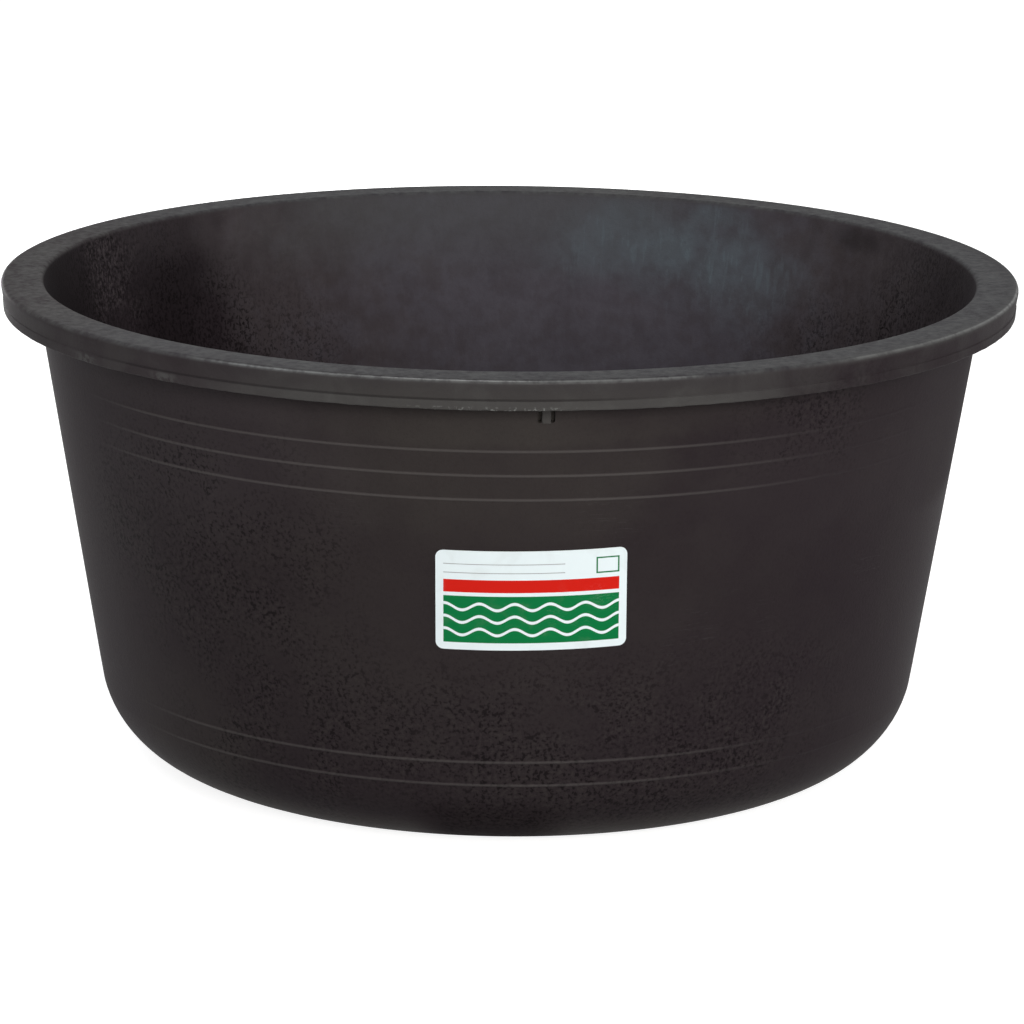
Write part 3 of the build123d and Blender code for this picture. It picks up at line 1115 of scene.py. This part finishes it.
def tie_tree():
    """Adds a bar to a wall and cuts a recess that runs behind it, from slot to slot."""
    inputs = {"Geometry": "shell", "Vector": "place turn", "Material": "finish"}
    inputs["Float"] = "bar_width bar_depth bar_length bar_round bar_back slot_width slot_length"
    inputs["Float"] += " recess_depth passage_height"
    desk, given = new_tree("Tie Recess", "Geometry", ("Shell", "Geometry"), inputs)

    def moved(piece, place, turned=(0.0, 0.0, 0.0)):
        return desk.shape("Transform", geometry=piece, translation=place, rotation=turned)

    def placed(piece):
        return moved(piece, given.place, given.turn)

    foot = (0.0, 0.0, 0.0)
    bar_end = desk.join(0.0, 0.0, given.bar_length)
    bar = placed(capped_bar(desk, given.bar_width, given.bar_depth, given.bar_round, foot, bar_end))
    barred = united(desk, given.shell, bar)

    # Cutters lie along the depth of the recess, and start in front of the wall
    front = desk.join(0.0, 0.0, given.recess_depth)
    back = desk.join(0.0, 0.0, given.recess_depth * -1.0)
    slot = capped_bar(desk, given.slot_width, given.slot_length, given.slot_width * 0.5, front, back)
    slot = moved(slot, foot, (-pi / 2, 0.0, 0.0))
    pitch = given.bar_width + given.slot_width
    middle = given.slot_length * 0.5
    first = desk.join(pitch * -0.5, 0.0, middle)
    spots = desk.shape("MeshLine", count=2, start_location=first, offset=desk.join(pitch, 0.0, 0.0))
    slots = desk.shape("InstanceOnPoints", points=spots, instance=slot)
    slots = placed(desk.shape("RealizeInstances", geometry=slots))
    deep = given.recess_depth - given.bar_back
    passage = desk.shape("MeshCube", "Mesh", size=desk.join(pitch, deep, given.passage_height))
    passage = placed(moved(passage, desk.join(0.0, deep * 0.5 + given.bar_back, middle)))
    recess = united(desk, slots, passage)
    cutting = {"operation": "DIFFERENCE", "solver": "EXACT"}
    cut = desk.shape("MeshBoolean", settings=cutting, mesh_1=barred, mesh_2=recess)

    # The new faces say that they are the recess or the bar
    nearest = desk.shape("SampleNearest", geometry=given.shell)
    shell = carry_finish(desk, cut, given.shell, nearest)
    for name, tool in zip(FACE_MARKS, (recess, bar)):
        distance = desk.add("GeometryNodeProximity", {0: tool}, "Distance")
        stored = {"name": name, "value": desk.math("LESS_THAN", distance, TOUCH)}
        shell = desk.shape("StoreNamedAttribute", settings={"domain": "FACE"}, geometry=shell, **stored)
    return close_skin(desk, shell, given.finish)


def new_object(name, mesh):
    piece = bpy.data.objects.new(name, mesh)
    bpy.context.scene.collection.objects.link(piece)
    return piece


def grow(piece, tree, **values):
    """Runs a node tree on a piece and keeps the result as its plain mesh."""
    modifier = piece.modifiers.new(tree.name, "NODES")
    modifier.node_group = tree
    inputs = titled(values)
    for item in tree.interface.items_tree:
        if item.name in inputs:
            modifier[item.identifier] = inputs[item.name]
    graph = bpy.context.evaluated_depsgraph_get()
    made = bpy.data.meshes.new_from_object(
        piece.evaluated_get(graph), preserve_all_data_layers=True, depsgraph=graph
    )
    piece.modifiers.clear()
    old, piece.data = piece.data, made
    bpy.data.meshes.remove(old)
    made.name = piece.name


def need(condition, message):
    """Stops the script where a piece can't be made."""
    if not condition:
        raise RuntimeError(message)


def settle(piece, node):
    """Puts a finished piece on the tub's one body, in the place of its node."""
    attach(piece, "root")
    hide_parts(node)


class TUB_OT_mould_shell(bpy.types.Operator):
    """Mould the tub: floor, wall, beads, rim, lip, tie bar and slots"""

    bl_idname = "tub.mould_shell"
    bl_label = "Mould Shell"

    def execute(self, context):
        s = context.scene.tub_shell
        finish = tub_plastic(s)
        shell = new_object("tub", section_wire(s))
        beads = {"bead_sink": s.bead_sink, "full_within": BEADS_FULL_WITHIN, "low_beyond": BEADS_LOW_BEYOND}
        trim = {"trim_wear": s.trim_wear, "trim_grain": TRIM_GRAIN, "seed": TRIM_SEED}
        grow(shell, shell_tree(), segments=s.segments, finish=finish, **beads, **trim)
        draft = atan(wall_slope(s))
        slot_foot = s.height - s.lip_depth - SLOT_DROP
        radius = wall_radius(s, slot_foot)
        bar_top = s.height - FLANGE_THICKNESS / 2
        grow(
            shell,
            tie_tree(),
            place=(radius * sin(TIE_ANGLE), -radius * cos(TIE_ANGLE), slot_foot),
            turn=(draft, 0.0, TIE_ANGLE),
            bar_width=TIE_BAR_WIDTH,
            bar_depth=2 * s.tie_bar_proud,
            bar_length=(bar_top - slot_foot) / cos(draft),
            bar_round=TIE_BAR_ROUND,
            bar_back=TIE_BAR_BACK,
            slot_width=SLOT_WIDTH,
            slot_length=SLOT_LENGTH,
            recess_depth=RECESS_DEPTH,
            passage_height=PASSAGE_HEIGHT,
            finish=finish,
        )
        shell.data.set_sharp_from_angle(angle=TUB_SHARP)
        need(len(shell.data.polygons) > s.segments * FOOT_STEPS, "the tub's shell came out empty")
        settle(shell, "tub_shell")
        return {"FINISHED"}


def label_point(shell, s, across, up, off):
    """A point of the flat label laid on the wall, off it by a distance."""
    draft = atan(wall_slope(shell))
    x = across * cos(s.tilt) - up * sin(s.tilt)
    y = across * sin(s.tilt) + up * cos(s.tilt)
    middle = wall_radius(shell, s.centre) / sin(draft)
    slant = hypot(middle + y, x)
    angle = s.angle + atan2(x, middle + y) / sin(draft)
    radius = slant * sin(draft) + off * cos(draft)
    height = s.centre + (slant - middle) * cos(draft) - off * sin(draft)
    return radius * sin(angle), -radius * cos(angle), height


def label_rows(s):
    """Distances up the label at which its rows of points lie, closer together at the corners."""
    steps = LABEL_CORNER_STEPS
    corner = [s.corner * (1 - cos(pi / 2 * i / steps)) for i in range(steps + 1)]
    middle = [s.corner + (s.height - 2 * s.corner) * i / LABEL_ROWS for i in range(1, LABEL_ROWS)]
    rows = corner + middle + [s.height - up for up in corner[::-1]]
    return [up - s.height / 2 for up in rows]


def label_layer(name, shell, s, inside, thickness, finish):
    """One layer of the label as a closed skin, with its print laid out from 0 to 1 each way."""
    columns = LABEL_COLUMNS
    rows = label_rows(s)
    flat = []
    for up in rows:
        into_corner = max(0, abs(up) - s.height / 2 + s.corner)
        half = s.width / 2 - s.corner + sqrt(max(0, s.corner**2 - into_corner**2))
        flat += [(half * (2 * i / columns - 1), up) for i in range(columns + 1)]
    count = len(flat)
    points = [label_point(shell, s, *spot, inside + thickness) for spot in flat]
    points += [label_point(shell, s, *spot, inside) for spot in flat]
    wide = columns + 1
    faces = []
    for row in range(len(rows) - 1):
        for column in range(columns):
            a = row * wide + column
            front = (a, a + 1, a + 1 + wide, a + wide)
            faces.append(front)
            faces.append(tuple(count + i for i in front[::-1]))
    bottom = list(range(wide))
    right = [row * wide + columns for row in range(1, len(rows))]
    top = [count - 1 - i for i in range(1, wide)]
    left = [row * wide for row in range(len(rows) - 2, 0, -1)]
    rim = bottom + right + top + left
    faces += [(b, a, count + a, count + b) for a, b in zip(rim, rim[1:] + rim[:1])]
    mesh = bpy.data.meshes.new(name)
    mesh.from_pydata(points, [], faces)
    layout = mesh.uv_layers.new(name="Print")
    for corner in mesh.loops:
        across, up = flat[corner.vertex_index % count]
        layout.data[corner.index].uv = (across / s.width + 0.5, up / s.height + 0.5)
    mesh.materials.append(finish)
    mesh.polygons.foreach_set("use_smooth", [True] * len(mesh.polygons))
    mesh.set_sharp_from_angle(angle=LABEL_SHARP)
    mesh.validate()
    return new_object(name, mesh)


class TUB_OT_stick_label(bpy.types.Operator):
    """Stick the printed label on the wall, film over adhesive"""

    bl_idname = "tub.stick_label"
    bl_label = "Stick Label"

    def execute(self, context):
        shell = context.scene.tub_shell
        s = context.scene.tub_label
        need(s.height > 2 * s.corner, "the label is too low for its corners")
        tacky = tacky_layer(s)
        adhesive = label_layer("label_adhesive_layer", shell, s, 0, ADHESIVE_THICKNESS, tacky)
        film = label_layer("label_print", shell, s, ADHESIVE_THICKNESS, FILM_THICKNESS, printed_film(s))
        settle(adhesive, "label_adhesive")
        settle(film, "label_film")
        return {"FINISHED"}


def white_to_eye(desk):
    """Whether a ray sees the plain white background instead of the room's own light."""
    path = desk.node("ShaderNodeLightPath").outputs
    rays = ("Is Camera Ray", "Is Glossy Ray", "Is Transmission Ray")
    return desk.greatest(*[Value(desk, path[ray]) for ray in rays])


def studio_floor(s):
    """Pale floor that reads as white and still shows some of the tub's shadow."""
    material = new_material("Studio floor")
    desk = Desk(material.node_tree)
    dust = desk.group(patch_group(), scale=1.5, seed=1.0, level=0.5, softness=0.3)
    base = desk.paint(s.floor, (FLOOR_DUST, dust * 0.1))
    sockets = {"Base Color": base, "Roughness": 0.9, "Specular IOR Level": 0.1}
    matt = desk.add("ShaderNodeBsdfPrincipled", sockets)
    glow = white_to_eye(desk) * s.floor_glow
    white = desk.add("ShaderNodeEmission", {"Color": opaque(WHITE), "Strength": glow})
    both = desk.add("ShaderNodeAddShader", {0: matt, 1: white})
    desk.node("ShaderNodeOutputMaterial", {"Surface": both})
    return material


def studio_room(s):
    """Even light from all round, in front of a white background."""
    world = bpy.data.worlds.new("Studio room")
    world.use_nodes = True
    world.node_tree.nodes.clear()
    desk = Desk(world.node_tree)
    strength = desk.spread(white_to_eye(desk), s.room, 1.0)
    light = desk.add("ShaderNodeBackground", {"Color": opaque(WHITE), "Strength": strength})
    desk.node("ShaderNodeOutputWorld", {"Surface": light})
    return world


def soft_box(name, lamp, watts):
    """A large soft lamp that faces the middle of the tub."""
    light = bpy.data.lights.new(name, "AREA")
    light.shape = "RECTANGLE"
    light.size, light.size_y = lamp.size
    light.energy = watts
    light.color = lamp.colour
    holder = new_object(name, light)
    holder.location = lamp.place
    ahead = Vector((0.0, 0.0, TUB_HEIGHT / 2)) - Vector(lamp.place)
    holder.rotation_euler = ahead.to_track_quat("-Z", "Y").to_euler()


def set_camera(s):
    """The camera in front of the tub, a little above it."""
    ahead = Vector((
        sin(s.camera_yaw) * cos(s.camera_pitch),
        cos(s.camera_yaw) * cos(s.camera_pitch),
        -sin(s.camera_pitch),
    ))
    level = Vector((cos(s.camera_yaw), -sin(s.camera_yaw), 0))
    rise = level.cross(ahead)
    right = level * cos(s.camera_roll) + rise * sin(s.camera_roll)
    up = rise * cos(s.camera_roll) - level * sin(s.camera_roll)
    camera = new_object("camera", bpy.data.cameras.new("camera"))
    camera.data.lens = s.lens
    camera.data.sensor_width = SENSOR_WIDTH
    turned = Matrix((right, up, -ahead)).transposed().to_4x4()
    camera.matrix_world = Matrix.Translation((0, -s.camera_back, s.camera_height)) @ turned
    bpy.context.scene.camera = camera


class TUB_OT_set_stage(bpy.types.Operator):
    """Set the floor, the lights and the camera"""

    bl_idname = "tub.set_stage"
    bl_label = "Set Stage"

    def execute(self, context):
        s = context.scene.tub_stage
        half = FLOOR_HALF
        corners = [(-half, -half, 0), (half, -half, 0), (half, half, 0), (-half, half, 0)]
        mesh = bpy.data.meshes.new("studio_floor")
        mesh.from_pydata(corners, [], [(0, 1, 2, 3)])
        mesh.materials.append(studio_floor(s))
        new_object("studio_floor", mesh)
        for name, lamp in LAMPS.items():
            soft_box(name, lamp, getattr(s, name))
        context.scene.world = studio_room(s)
        context.scene.view_settings.view_transform = "Standard"
        set_camera(s)
        return {"FINISHED"}


class TUB_PT_sidebar(bpy.types.Panel):
    """The tub's settings and the buttons that make it"""

    bl_idname = "TUB_PT_sidebar"
    bl_label = "Round Farm Tub"
    bl_space_type = "VIEW_3D"
    bl_region_type = "UI"
    bl_category = "Tub"

    def draw(self, context):
        scene = context.scene
        steps = (
            (scene.tub_shell, TUB_OT_mould_shell),
            (scene.tub_label, TUB_OT_stick_label),
            (scene.tub_stage, TUB_OT_set_stage),
        )
        for settings, operator in steps:
            box = self.layout.box()
            for name in settings.__annotations__:
                box.prop(settings, name)
            box.operator(operator.bl_idname)


SETTINGS = {"tub_shell": ShellSettings, "tub_label": LabelSettings, "tub_stage": StageSettings}
CLASSES = (*SETTINGS.values(), TUB_OT_mould_shell, TUB_OT_stick_label, TUB_OT_set_stage, TUB_PT_sidebar)


def register():
    for item in CLASSES:
        bpy.utils.register_class(item)
    for name, settings in SETTINGS.items():
        setattr(bpy.types.Scene, name, PointerProperty(type=settings))


def unregister():
    for name in SETTINGS:
        delattr(bpy.types.Scene, name)
    for item in reversed(CLASSES):
        bpy.utils.unregister_class(item)


def main():
    register()
    bpy.ops.tub.mould_shell()
    bpy.ops.tub.stick_label()
    bpy.ops.tub.set_stage()


if __name__ == "__main__":
    main()
